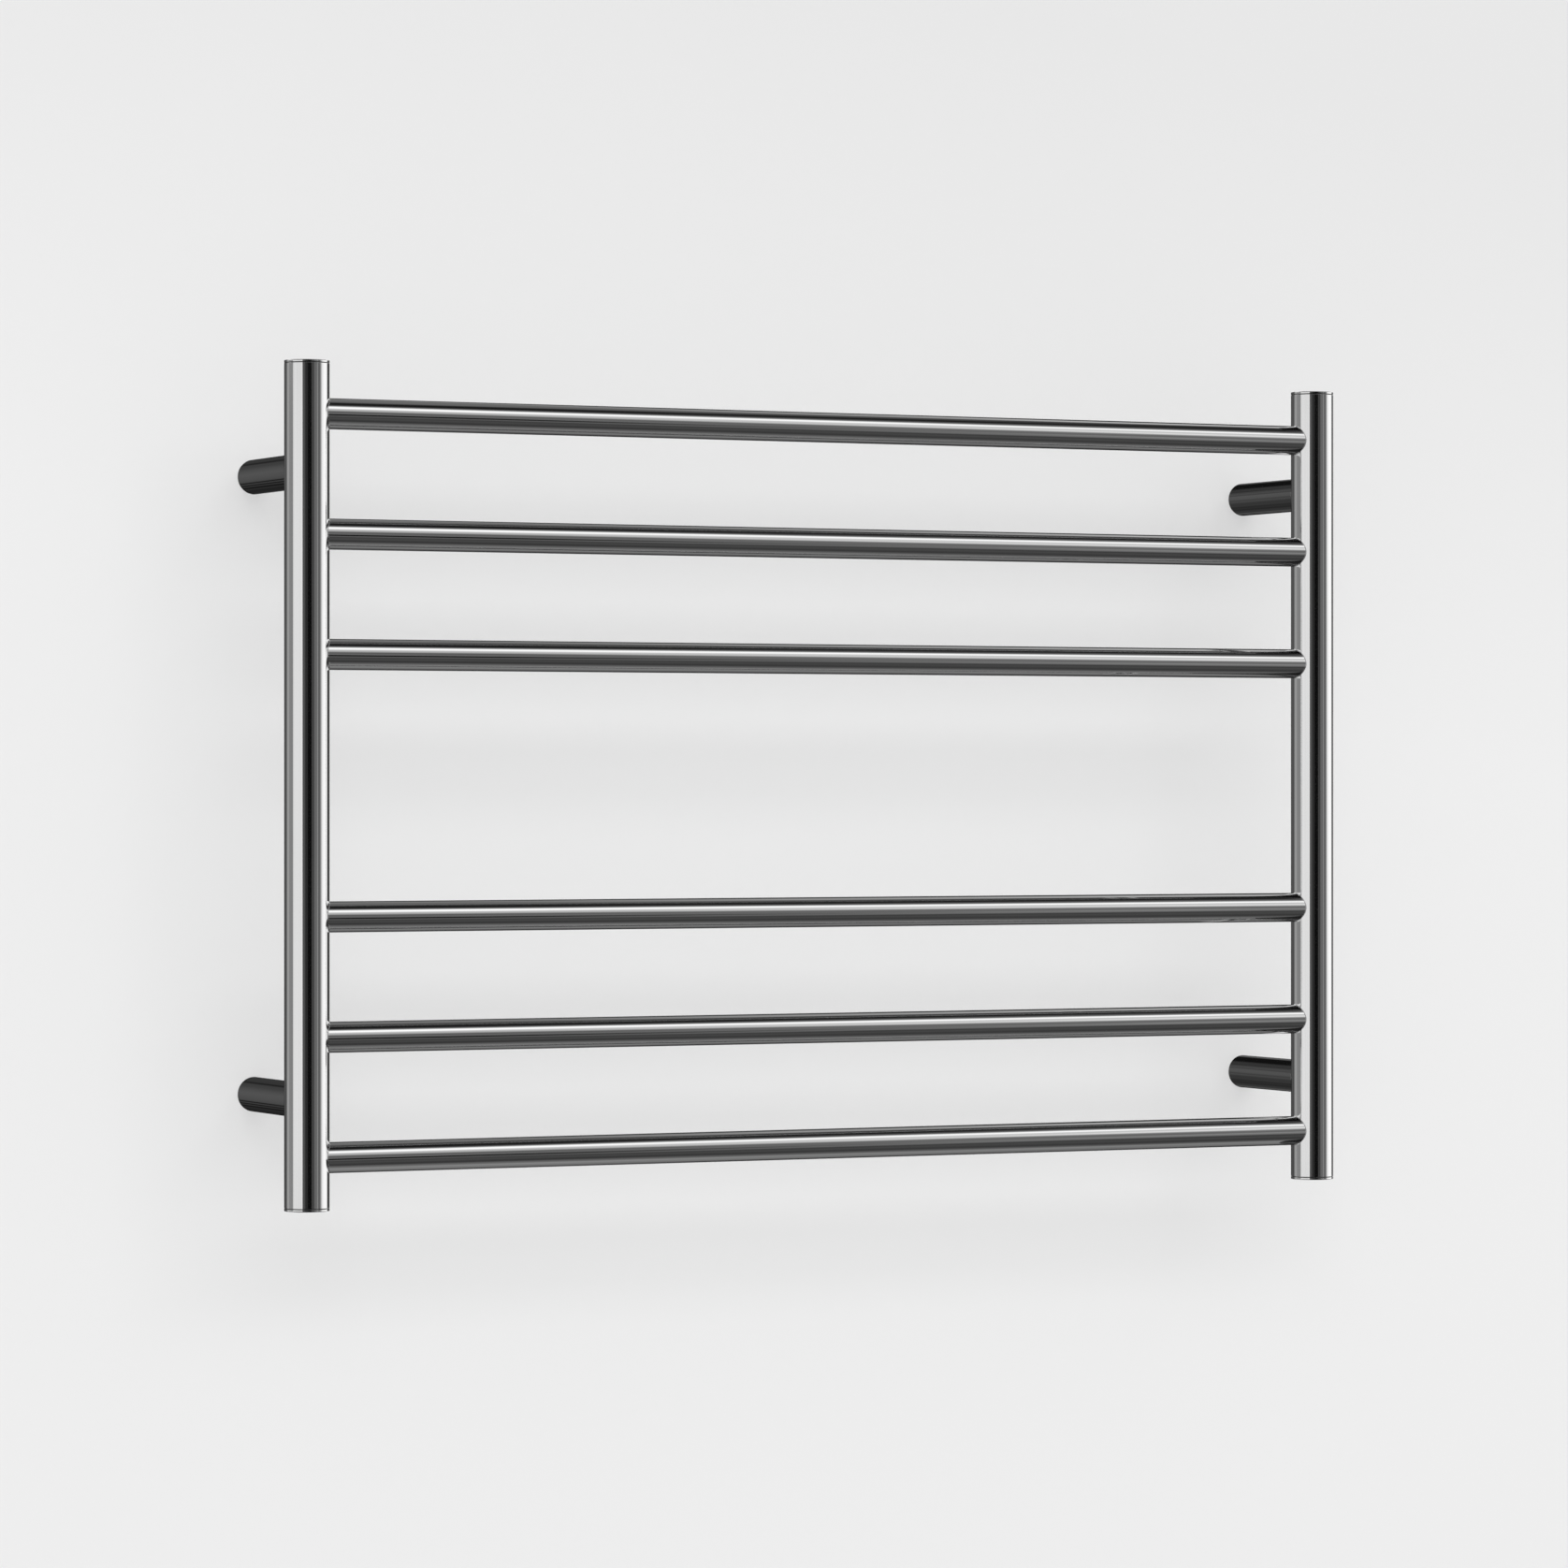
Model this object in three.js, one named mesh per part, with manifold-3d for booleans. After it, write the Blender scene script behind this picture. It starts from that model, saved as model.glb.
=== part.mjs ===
// Wall-hung towel warmer: two upright posts joined by six crossbars, carried off the wall on four legs.
// A heating cable runs through every crossbar. Millimetres, +X right, +Y into the wall, +Z up.
// The origin is on the wall plane, midway between the four fixing points.
import * as THREE from "three";
import { mergeVertices } from "three/addons/utils/BufferGeometryUtils.js";
import Module from "manifold-3d";

const wasm = await Module();
wasm.setup();

// ---- driving dimensions ----

const overallWidth = 850;
const overallHeight = 600;
const projection = 123; // wall to the front of the posts

const postDiameter = 32;
const postWall = 1.5;
const barDiameter = 22;
const barWall = 1.2;
const legDiameter = 25;
const legWall = 1.5;

const barsPerGroup = 3; // one group hangs from the top, one stands from the bottom, a wide space between
const barPitch = 85;
const endToBar = 37.25; // end of a post to the outermost crossbar's axis
const endToLeg = 77.5; // end of a post to a leg's axis

const weldGap = 0.3; // left open along each coped joint
const fitGap = 0.3; // between a piece and the bore or face it sits against

const capThickness = 2;
const capSeam = 0.3; // fine line between a cap and its post
const capChamfer = 0.6;
const capPlugLength = 12;
const capPlugWall = 2;
const capRidgeHeight = 0.5; // the two grip ridges stand this far out of the plug
const capRidgeWidth = 2;
const capRidgeStart = 3; // disc to the first ridge
const capRidgePitch = 4.5;

const insertLength = 22;
const insertChamfer = 0.8;
const counterboreDepth = 8;
const wallScrewHole = 5.5;
const wallScrewHead = 11; // counterbore for its head
const entryHole = 8; // for the supply lead, through one of the four inserts
const entryHoleRise = 4.6; // above the leg's axis
const entryScrewHole = 4.5;
const entryScrewHead = 8.4;
const entryScrewDrop = 5.2; // below the leg's axis

const grubDistance = 8; // wall to the grub screw's axis
const grubDiameter = 4;
const grubRecess = 0.15; // below the leg's surface
const grubPointFlat = 0.4; // radius of the flat end of its 45 degree cone
const grubSocketWidth = 2; // across flats
const grubSocketDepth = 1.5;
const dimpleDepth = 2.4; // conical seat in the insert that the grub screw's point enters

const cableDiameter = 6;
const cableBend = 12; // radius at the cable's centre
const jointDiameter = 10;
const jointLength = 34;
const limiterDiameter = 8;
const limiterLength = 17;
const sealDiameter = 7.2;
const sealLength = 24;
const sealOverlap = 12; // length of cable inside the seal
const sealSetBack = 44; // seal's open end from the post's axis

const leadDiameter = 6; // supply lead that the grommet takes
const grommetLength = 8; // inside the insert
const grommetFlangeThickness = 0.9;
const grommetFlangeWidth = 1;

const earthStudDiameter = 4;
const earthStudLength = 11;
const earthLugThickness = 0.8;
const earthLugWidth = 8;
const earthBarrelDiameter = 3.6;
const earthBarrelLength = 8;
const earthWireDiameter = 2.4;
const earthWireBend = 6;
const earthNutWidth = 7; // across flats
const earthNutHeight = 3.2;

const sides = { post: 40, bar: 32, leg: 32, insert: 24, hole: 24, small: 16, screw: 12, cable: 8 };
const bendSteps = 5; // stations along a quarter bend of a cable

// ---- sizes worked out from them ----

const postRadius = postDiameter / 2;
const postBore = postRadius - postWall;
const barRadius = barDiameter / 2;
const barBore = barRadius - barWall;
const legRadius = legDiameter / 2;
const legBore = legRadius - legWall;
const insertRadius = legBore - fitGap;
const plugRadius = postBore - fitGap - capRidgeHeight;
const cableRadius = cableDiameter / 2;

const postX = (overallWidth - postDiameter) / 2;
const postY = -(projection - postRadius);
const postHalfLength = overallHeight / 2 - capThickness - capSeam;
const legZ = overallHeight / 2 - endToLeg;
const entryLeg = { name: "bottom_left", x: -postX, z: -legZ };

// Crossbar heights from the top one down.
const upperBars = Array.from({ length: barsPerGroup }, (_, i) => overallHeight / 2 - endToBar - i * barPitch);
const barHeights = [...upperBars, ...upperBars.map((z) => -z).reverse()];

// ---- finishes ----

const metal = (color, roughness) => new THREE.MeshStandardMaterial({ color, metalness: 1, roughness });
const insulation = (color, roughness) => new THREE.MeshStandardMaterial({ color, metalness: 0, roughness });
const finish = {
  polishedSteel: metal(0xb9b9b8, 0.08),
  turnedSteel: metal(0x9d9c9a, 0.35),
  blackSteel: metal(0x2b2b2d, 0.45),
  tinnedCopper: metal(0xbfb9ab, 0.3),
  redSilicone: insulation(0x8e2f25, 0.6),
  blackSleeve: insulation(0x1c1c1d, 0.55),
  greyRubber: insulation(0x3b3c3e, 0.8),
  ceramic: insulation(0xe4dfd2, 0.5),
  earthInsulation: insulation(0x4c8a3a, 0.5),
};

// ---- making and placing solids ----

const assembly = new THREE.Group();
assembly.name = "towel_warmer_rack";

function add(name, geometry, material) {
  const mesh = new THREE.Mesh(geometry, material);
  mesh.name = name;
  assembly.add(mesh);
  return mesh;
}

// A closed geometry as a manifold-3d solid, and back.
function solidOf(geometry) {
  const bare = geometry.clone();
  bare.deleteAttribute("normal");
  bare.deleteAttribute("uv");
  const merged = mergeVertices(bare, 1e-4);
  return new wasm.Manifold(
    new wasm.Mesh({
      numProp: 3,
      vertProperties: merged.attributes.position.array,
      triVerts: new Uint32Array(merged.index.array),
    }),
  );
}

function geometryOf(solid) {
  const mesh = solid.getMesh();
  const geometry = new THREE.BufferGeometry();
  geometry.setAttribute("position", new THREE.BufferAttribute(mesh.vertProperties, mesh.numProp));
  geometry.setIndex(new THREE.BufferAttribute(mesh.triVerts, 1));
  return geometry;
}

const cut = (geometry, tools) =>
  geometryOf(tools.reduce((solid, tool) => solid.subtract(solidOf(tool)), solidOf(geometry)));
const join = (geometry, others) =>
  geometryOf(others.reduce((solid, other) => solid.add(solidOf(other)), solidOf(geometry)));

// A profile of [radius, height] pairs turned about Z, counter-clockwise so that its faces point out.
function turned(profile, segments) {
  const points = profile.map(([radius, height]) => new THREE.Vector2(radius, height));
  return new THREE.LatheGeometry(points, segments).rotateX(Math.PI / 2);
}

const pipe = (radius, bore, low, high, segments) =>
  turned([[bore, low], [radius, low], [radius, high], [bore, high], [bore, low]], segments);

// A rod along the direction `towards`, from a starting point. Its far end may be narrower.
function rod(radius, length, segments, from, towards, endRadius = radius) {
  const geometry = new THREE.CylinderGeometry(endRadius, radius, length, segments);
  geometry.translate(0, length / 2, 0);
  geometry.applyQuaternion(new THREE.Quaternion().setFromUnitVectors(new THREE.Vector3(0, 1, 0), towards));
  return geometry.translate(from.x, from.y, from.z);
}

function hexPrism(acrossFlats, height, low) {
  const hexagon = new THREE.Shape();
  const corner = acrossFlats / Math.sqrt(3);
  for (let i = 0; i < 6; i++) {
    const angle = (i * Math.PI) / 3;
    hexagon[i ? "lineTo" : "moveTo"](corner * Math.cos(angle), corner * Math.sin(angle));
  }
  return new THREE.ExtrudeGeometry(hexagon, { depth: height, bevelEnabled: false }).translate(0, 0, low);
}

const along = { x: new THREE.Vector3(1, 0, 0), y: new THREE.Vector3(0, 1, 0), z: new THREE.Vector3(0, 0, 1) };

// Distance from a post's axis to the saddle a tube is coped to, at an offset to the side of that axis.
const saddle = (offset) => Math.sqrt((postRadius + weldGap) ** 2 - offset ** 2);

// A tube along local Z whose two ends are shaped by functions of the local X of each point of the rim.
function copedTube(radius, bore, startAt, endAt, segments) {
  const geometry = pipe(radius, bore, 0, 1, segments);
  const position = geometry.attributes.position;
  for (let i = 0; i < position.count; i++) {
    const side = position.getX(i);
    position.setZ(i, position.getZ(i) > 0.5 ? endAt(side) : startAt(side));
  }
  return geometry;
}

// ---- posts ----

// Each post has a bore opposite every crossbar, and the left one a bore for the element behind its lower leg.
function post(sideSign) {
  const inward = along.x.clone().multiplyScalar(-sideSign);
  const bores = barHeights.map((z) =>
    rod(barBore, postDiameter, sides.hole, new THREE.Vector3(0, 0, z), inward),
  );
  if (Math.sign(entryLeg.x) === sideSign) {
    bores.push(rod(legBore, postDiameter, sides.hole, new THREE.Vector3(0, 0, entryLeg.z), along.y));
  }
  const tube = pipe(postRadius, postBore, -postHalfLength, postHalfLength, sides.post);
  return cut(tube, bores).translate(sideSign * postX, postY, 0);
}

add("post_left", post(-1), finish.polishedSteel);
add("post_right", post(1), finish.polishedSteel);

// ---- crossbars ----

// The local axes become side = Y, up = Z, length = X.
const crossbarBasis = new THREE.Matrix4().makeBasis(along.y, along.z, along.x);

function crossbar(z) {
  const reach = (side) => postX - saddle(side);
  const tube = copedTube(barRadius, barBore, (side) => -reach(side), reach, sides.bar);
  return tube.applyMatrix4(crossbarBasis).translate(0, postY, z);
}

barHeights.forEach((z, i) => add(`crossbar_${i + 1}`, crossbar(z), finish.polishedSteel));

// ---- legs, wall inserts and grub screws ----

// The local axes become side = X, up = Z, length = -Y, which runs from the wall to the post.
const legBasis = new THREE.Matrix4().makeBasis(along.x, along.z, along.y.clone().negate());

// A hole through a piece that stands on the wall, at a height above the leg's axis.
const wallHole = (diameter, height, from, to, segments) =>
  rod(diameter / 2, to - from, segments, new THREE.Vector3(0, height, from), along.z);

// The same kind of hole from below, on the axis of the grub screw. A cone if it narrows to nothing.
const holeFromBelow = (radius, bottom, depth, endRadius) =>
  rod(radius, depth, sides.small, new THREE.Vector3(0, bottom, grubDistance), along.y, endRadius);

function leg() {
  const tube = copedTube(legRadius, legBore, () => 0, (side) => -postY - saddle(side), sides.leg);
  const grubHole = holeFromBelow(grubDiameter / 2 + fitGap, -legRadius - fitGap, legRadius);
  return cut(tube, [grubHole]).applyMatrix4(legBasis);
}

// Plug that is screwed to the wall, over which the leg slides.
function wallInsert(isEntry) {
  const plug = turned(
    [
      [0, 0],
      [insertRadius, 0],
      [insertRadius, insertLength - insertChamfer],
      [insertRadius - insertChamfer, insertLength],
      [0, insertLength],
    ],
    sides.insert,
  );
  const past = insertLength + fitGap;
  const headStart = insertLength - counterboreDepth;
  const screw = isEntry
    ? { hole: entryScrewHole, head: entryScrewHead, height: -entryScrewDrop }
    : { hole: wallScrewHole, head: wallScrewHead, height: 0 };
  const dimpleReach = dimpleDepth + fitGap;
  const holes = [
    wallHole(screw.hole, screw.height, -fitGap, past, sides.small),
    wallHole(screw.head, screw.height, headStart, past, sides.small),
    holeFromBelow(dimpleReach, -insertRadius - fitGap, dimpleReach, 0),
  ];
  if (isEntry) holes.push(wallHole(entryHole, entryHoleRise, -fitGap, past, sides.small));
  return cut(plug, holes).applyMatrix4(legBasis);
}

// Cone-point grub screw with its axis up. The cone stays clear of the dimple's flanks by the fit gap.
function grubScrew() {
  const radius = grubDiameter / 2;
  const head = -legRadius + grubRecess;
  const dimpleBottom = -insertRadius + dimpleDepth;
  const point = dimpleBottom - grubPointFlat - fitGap * Math.SQRT2;
  const coneStart = point - (radius - grubPointFlat);
  const body = turned(
    [[0, head], [radius, head], [radius, coneStart], [grubPointFlat, point], [0, point]],
    sides.screw,
  );
  const socket = hexPrism(grubSocketWidth, grubSocketDepth + grubRecess, head - grubRecess);
  return cut(body, [socket]).translate(0, -grubDistance, 0);
}

for (const [level, z] of [["top", legZ], ["bottom", -legZ]]) {
  for (const [side, x] of [["left", -postX], ["right", postX]]) {
    const place = `${level}_${side}`;
    const isEntry = place === entryLeg.name;
    add(`leg_${place}`, leg().translate(x, 0, z), finish.polishedSteel);
    add(`wall_insert_${place}`, wallInsert(isEntry).translate(x, 0, z), finish.turnedSteel);
    add(`grub_screw_${place}`, grubScrew().translate(x, 0, z), finish.blackSteel);
  }
}

// ---- end caps ----

// Disc with a chamfered edge and a hollow plug with two grip ridges. Local Z runs into the post.
function endCap(hasStud) {
  const ridge = (start) => [
    [plugRadius, start],
    [plugRadius + capRidgeHeight, start + capRidgeWidth / 2],
    [plugRadius, start + capRidgeWidth],
  ];
  const plugEnd = capThickness + capPlugLength;
  const cupRadius = plugRadius - capPlugWall;
  const edge = [[postRadius - capChamfer, 0], [postRadius, capChamfer], [postRadius, capThickness]];
  const firstRidge = capThickness + capRidgeStart;
  const ridges = [...ridge(firstRidge), ...ridge(firstRidge + capRidgePitch)];
  const cup = [[plugRadius, plugEnd], [cupRadius, plugEnd], [cupRadius, capThickness]];
  const stud = [
    [earthStudDiameter / 2, capThickness],
    [earthStudDiameter / 2, capThickness + earthStudLength],
    [0, capThickness + earthStudLength],
  ];
  const centre = hasStud ? stud : [[0, capThickness]];
  return turned([[0, 0], ...edge, [plugRadius, capThickness], ...ridges, ...cup, ...centre], sides.post);
}

for (const [side, x] of [["left", -postX], ["right", postX]]) {
  const below = endCap(x === entryLeg.x).translate(x, postY, -overallHeight / 2);
  const above = endCap(false).rotateX(Math.PI).translate(x, postY, overallHeight / 2);
  add(`cap_bottom_${side}`, below, finish.polishedSteel);
  add(`cap_top_${side}`, above, finish.polishedSteel);
}

// ---- heating cable ----

// The corner points of a route with every corner rounded to a quarter bend.
function roundedRoute(corners, radius) {
  const points = [corners[0]];
  for (let i = 1; i < corners.length - 1; i++) {
    const arriving = corners[i].clone().sub(corners[i - 1]).normalize();
    const leaving = corners[i + 1].clone().sub(corners[i]).normalize();
    const centre = corners[i].clone().addScaledVector(arriving, -radius).addScaledVector(leaving, radius);
    for (let step = 0; step <= bendSteps; step++) {
      const angle = (step / bendSteps) * (Math.PI / 2);
      points.push(
        centre
          .clone()
          .addScaledVector(arriving, radius * Math.sin(angle))
          .addScaledVector(leaving, -radius * Math.cos(angle)),
      );
    }
  }
  points.push(corners.at(-1));
  return points;
}

// A curve that hands its stations to ExtrudeGeometry one for one, so straight runs take a single step.
class StationPath extends THREE.Curve {
  constructor(stations) {
    super();
    this.stations = stations;
  }
  getPointAt(u) {
    return this.stations[Math.round(u * (this.stations.length - 1))].clone();
  }
  getTangentAt(u) {
    const i = Math.round(u * (this.stations.length - 1));
    const before = this.stations[Math.max(i - 1, 0)];
    const here = this.stations[i];
    const after = this.stations[Math.min(i + 1, this.stations.length - 1)];
    return here
      .clone()
      .sub(before)
      .normalize()
      .add(after.clone().sub(here).normalize())
      .normalize();
  }
}

function cable(diameter, stations) {
  const section = new THREE.Shape().absarc(0, 0, diameter / 2, 0, 2 * Math.PI);
  return new THREE.ExtrudeGeometry(section, {
    steps: stations.length - 1,
    curveSegments: sides.cable / 2, // an arc takes two points for each of these
    bevelEnabled: false,
    extrudePath: new StationPath(stations),
  });
}

// How far under a bore's axis a round piece lies when it rests on the bottom of the bore.
const restDepth = (bore, radius) => bore - radius - fitGap;

const jointZ = entryLeg.z - restDepth(legBore, jointDiameter / 2);
const limiterZ = entryLeg.z - restDepth(legBore, limiterDiameter / 2);
const limiterEnd = -insertLength - 4 * fitGap;
const jointEnd = limiterEnd - limiterLength - fitGap;
const cableStart = jointEnd - jointLength - fitGap;
const cableSink = restDepth(barBore, cableRadius);
const sealSink = restDepth(barBore, sealDiameter / 2);
const sealMouth = -postX + sealSetBack;

// In through the lower left leg, then to and fro through the bars from the lowest to the highest.
function heatingRoute() {
  const corners = [
    new THREE.Vector3(entryLeg.x, cableStart, jointZ),
    new THREE.Vector3(entryLeg.x, postY, jointZ),
  ];
  let x = entryLeg.x;
  for (const z of barHeights.toReversed()) {
    corners.push(new THREE.Vector3(x, postY, z - cableSink));
    x = -x;
    corners.push(new THREE.Vector3(x, postY, z - cableSink));
  }
  const end = corners.pop();
  corners.push(new THREE.Vector3(sealMouth - sealOverlap + fitGap, end.y, barHeights[0] - sealSink));
  return roundedRoute(corners, cableBend);
}

add("heating_cable", cable(cableDiameter, heatingRoute()), finish.redSilicone);

// Closed sleeve over the cable's far end, lying in the top crossbar.
function endSeal() {
  const radius = sealDiameter / 2;
  const bore = cableRadius + fitGap;
  const roundStart = sealLength - radius;
  const nose = [0, 1, 2, 3].map((i) => {
    const angle = (i / 4) * (Math.PI / 2);
    return [radius * Math.cos(angle), roundStart + radius * Math.sin(angle)];
  });
  const body = turned(
    [[bore, 0], [radius, 0], ...nose, [0, sealLength], [0, sealOverlap], [bore, sealOverlap], [bore, 0]],
    sides.screw,
  );
  return body.rotateY(-Math.PI / 2).translate(sealMouth, postY, barHeights[0] - sealSink);
}

add("end_seal", endSeal(), finish.blackSleeve);

// ---- connection inside the lower left leg ----

const sleeveEase = 1; // chamfer at the ends of the joint and the limiter

// A round piece with eased ends that runs away from the wall.
function sleeve(radius, length) {
  const eased = radius - sleeveEase;
  const profile = [
    [0, 0],
    [eased, 0],
    [radius, sleeveEase],
    [radius, length - sleeveEase],
    [eased, length],
    [0, length],
  ];
  return turned(profile, sides.screw).applyMatrix4(legBasis);
}

add(
  "cable_joint",
  sleeve(jointDiameter / 2, jointLength).translate(entryLeg.x, jointEnd, jointZ),
  finish.blackSleeve,
);
add(
  "thermal_limiter",
  sleeve(limiterDiameter / 2, limiterLength).translate(entryLeg.x, limiterEnd, limiterZ),
  finish.ceramic,
);

// Rubber grommet in the entry insert's lead hole, with its flange on the insert's inner end.
function entryGrommet() {
  const bore = leadDiameter / 2;
  const neck = entryHole / 2 - fitGap;
  const flange = entryHole / 2 + grommetFlangeWidth;
  const start = insertLength - grommetLength;
  const seat = insertLength + fitGap;
  const end = seat + grommetFlangeThickness;
  const profile = [[bore, start], [neck, start], [neck, seat], [flange, seat], [flange, end], [bore, end]];
  const body = turned([...profile, profile[0]], sides.small);
  return body.applyMatrix4(legBasis).translate(entryLeg.x, 0, entryLeg.z + entryHoleRise);
}

add("entry_grommet", entryGrommet(), finish.greyRubber);

// ---- earth connection in the lower left cap ----

const capFloor = -overallHeight / 2 + capThickness;
const earthCentre = new THREE.Vector3(entryLeg.x, postY, capFloor);
const barrelOffset = -(earthLugWidth / 2 + earthBarrelDiameter / 2); // towards the outer side of the post

// Ring round the stud with an upright crimp barrel at its edge.
function earthLug() {
  const ring = new THREE.Shape().absarc(0, 0, earthLugWidth / 2, 0, 2 * Math.PI);
  ring.holes.push(new THREE.Path().absarc(0, 0, earthStudDiameter / 2 + fitGap, 0, 2 * Math.PI));
  const plate = new THREE.ExtrudeGeometry(ring, {
    depth: earthLugThickness,
    curveSegments: sides.screw / 2,
    bevelEnabled: false,
  });
  const tongueLength = earthLugWidth / 2 - earthStudDiameter / 2 - fitGap + earthBarrelDiameter / 2;
  const tongue = new THREE.BoxGeometry(tongueLength, earthBarrelDiameter, earthLugThickness);
  tongue.translate(barrelOffset + tongueLength / 2, 0, earthLugThickness / 2);
  const barrel = rod(
    earthBarrelDiameter / 2,
    earthBarrelLength,
    sides.screw,
    new THREE.Vector3(barrelOffset, 0, 0),
    along.z,
  );
  return join(plate, [tongue, barrel]);
}

const lugBottom = fitGap;
add(
  "earth_lug",
  earthLug().translate(earthCentre.x, earthCentre.y, earthCentre.z + lugBottom),
  finish.tinnedCopper,
);

const nutBottom = lugBottom + earthLugThickness + fitGap;
const nutBore = rod(
  earthStudDiameter / 2 + fitGap,
  earthNutHeight * 2,
  sides.screw,
  new THREE.Vector3(0, 0, -earthNutHeight / 2),
  along.z,
);
add(
  "earth_nut",
  cut(hexPrism(earthNutWidth, earthNutHeight, 0), [nutBore]).translate(
    earthCentre.x,
    earthCentre.y,
    earthCentre.z + nutBottom,
  ),
  finish.turnedSteel,
);

// From the crimp barrel up the outer side of the post, then into the leg beside the joint.
function earthWireRoute() {
  const wireX = earthCentre.x + barrelOffset;
  const start = earthCentre.z + lugBottom + earthBarrelLength + fitGap;
  const turnY = postY;
  const wireZ = entryLeg.z;
  return roundedRoute(
    [
      new THREE.Vector3(wireX, turnY, start),
      new THREE.Vector3(wireX, turnY, wireZ),
      new THREE.Vector3(wireX, limiterEnd, wireZ),
    ],
    earthWireBend,
  );
}

add("earth_wire", cable(earthWireDiameter, earthWireRoute()), finish.earthInsulation);

export default assembly;
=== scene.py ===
import math

import bmesh
import bpy
from mathutils import Matrix, Vector


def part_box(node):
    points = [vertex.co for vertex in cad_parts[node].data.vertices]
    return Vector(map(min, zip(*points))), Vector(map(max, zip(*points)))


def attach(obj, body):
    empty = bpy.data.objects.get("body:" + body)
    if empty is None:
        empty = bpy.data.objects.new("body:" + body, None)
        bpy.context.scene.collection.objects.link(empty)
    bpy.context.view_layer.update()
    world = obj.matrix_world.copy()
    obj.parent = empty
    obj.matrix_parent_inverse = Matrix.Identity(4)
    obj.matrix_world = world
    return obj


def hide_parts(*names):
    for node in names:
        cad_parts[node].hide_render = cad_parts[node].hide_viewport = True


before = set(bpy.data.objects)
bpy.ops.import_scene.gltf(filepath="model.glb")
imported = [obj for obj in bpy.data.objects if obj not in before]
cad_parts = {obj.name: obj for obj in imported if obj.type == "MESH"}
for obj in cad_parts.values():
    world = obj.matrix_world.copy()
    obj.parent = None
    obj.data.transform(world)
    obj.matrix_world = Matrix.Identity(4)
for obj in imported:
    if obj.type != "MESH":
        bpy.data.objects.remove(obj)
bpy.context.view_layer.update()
print("frame loaded:", len(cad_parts), "nodes")

mm = 0.001  # sizes in the dictionaries are millimetres unless a note says otherwise
overrun = 1.0  # how far a plain cutter starts and ends outside what it cuts, so that no faces coincide


def measure(node):  # its middle and its size along each axis, in metres
    low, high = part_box(node)
    return [(a + b) / 2 for a, b in zip(low, high)], [b - a for a, b in zip(low, high)]


(postX, postY, _), (postWidth, _, _) = measure("post_right")
_, (_, _, barWidth) = measure("crossbar_1")
barHeights = [measure(f"crossbar_{i}")[0][2] for i in range(1, 7)]
(_, _, legZ), (legWidth, _, _) = measure("leg_top_right")
_, (insertWidth, insertLength, _) = measure("wall_insert_top_right")
(_, screwY, _), (screwWidth, _, screwLength) = measure("grub_screw_top_right")
postRadius, barRadius = postWidth / 2, barWidth / 2
legRadius, insertRadius = legWidth / 2, insertWidth / 2

# The four fixing points: the end of a node's name, the end of a piece's name, and signs for X and Z.
corners = [(f"{level}_{side}", level.capitalize() + side.capitalize(), right, up)
           for level, up in (("top", 1), ("bottom", -1)) for side, right in (("left", -1), ("right", 1))]
entry = "bottom_left"  # the supply comes in here, and is earthed in the cap under it


def linear(hexColour):  # sRGB hex to linear
    channels = [int(hexColour[i:i + 2], 16) / 255 for i in (0, 2, 4)]
    return [c / 12.92 if c <= 0.04045 else ((c + 0.055) / 1.055) ** 2.4 for c in channels] + [1.0]


def move(x, y, z):
    return Matrix.Translation((x, y, z))


def turn(degrees, axis):
    return Matrix.Rotation(math.radians(degrees), 4, axis)


def addNode(tree, kind, inputs=None, **settings):  # an input is a value, a socket or another node
    node = tree.nodes.new(kind)
    for name, value in settings.items():
        setattr(node, name, value)
    for socket, value in (inputs or {}).items():
        if isinstance(value, bpy.types.Node):  # it gives the first of its outputs that is in use
            value = next(output for output in value.outputs if output.enabled)
        if isinstance(value, bpy.types.NodeSocket):
            tree.links.new(value, node.inputs[socket])
        else:
            node.inputs[socket].default_value = value
    return node


def newMaterial(name):  # with its tree, and the place on the object that its patterns read
    material = bpy.data.materials.new(name)
    material.use_nodes = True
    tree = material.node_tree
    tree.nodes.clear()
    return material, tree, addNode(tree, "ShaderNodeTexCoord").outputs["Object"]


def endMaterial(tree, surface):
    body = addNode(tree, "ShaderNodeBsdfPrincipled", surface)
    addNode(tree, "ShaderNodeOutputMaterial", {"Surface": body})


def newGeometryTree(name, sockets):  # label: its default, or the kind of a socket that has none
    tree = bpy.data.node_groups.new(name, "GeometryNodeTree")
    for label, default in {**sockets, "Material": "Material"}.items():
        kind = {float: "Float", int: "Int"}.get(type(default), default)
        socket = tree.interface.new_socket(label, in_out="INPUT", socket_type=f"NodeSocket{kind}")
        if kind != default:
            socket.default_value = default
    tree.interface.new_socket("Geometry", in_out="OUTPUT", socket_type="NodeSocketGeometry")
    return tree, addNode(tree, "NodeGroupInput").outputs


def endGeometryTree(tree, geometry, given):
    whole = addNode(tree, "GeometryNodeRealizeInstances", {"Geometry": geometry})
    coated = addNode(tree, "GeometryNodeSetMaterial", {
        "Geometry": whole, "Material": given["Material"]})
    addNode(tree, "NodeGroupOutput", {"Geometry": coated})


def halfChord(tree, radius, offset):  # of a circle, where the chord passes its middle at that offset
    squares = [addNode(tree, "ShaderNodeMath", {0: length, 1: 2.0}, operation="POWER")
               for length in (radius, offset)]
    rest = addNode(tree, "ShaderNodeMath", {0: squares[0], 1: squares[1]}, operation="SUBTRACT")
    return addNode(tree, "ShaderNodeMath", {0: rest}, operation="SQRT")


def newObject(name, data):
    piece = bpy.data.objects.new(name, data)
    bpy.context.scene.collection.objects.link(piece)
    return piece


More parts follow.
